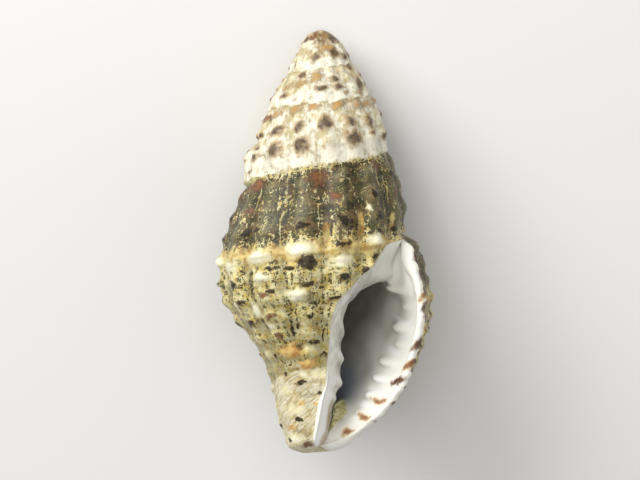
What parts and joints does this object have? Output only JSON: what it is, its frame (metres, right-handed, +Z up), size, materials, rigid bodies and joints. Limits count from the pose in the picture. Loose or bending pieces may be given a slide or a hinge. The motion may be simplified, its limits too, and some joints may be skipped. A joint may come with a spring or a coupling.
{
  "type": "whelk shell",
  "caption": "Small spindle-shaped, right-handed whelk shell with knobbly ribs, a long open canal and a toothed white opening; lies on its back, opening up.",
  "frame": {"origin": "on the surface the shell lies on, under the middle of its bounding box", "axes": "+Y towards the apex, +X towards the outer lip, +Z up out of the opening"},
  "size_m": [0.018, 0.034, 0.0161],
  "materials": {
    "shell": "matte, limy and encrusted outside; smooth, satin, white to grey inside"
  },
  "bodies": {
    "root": {"shell": "shell"}
  },
  "joints": []
}
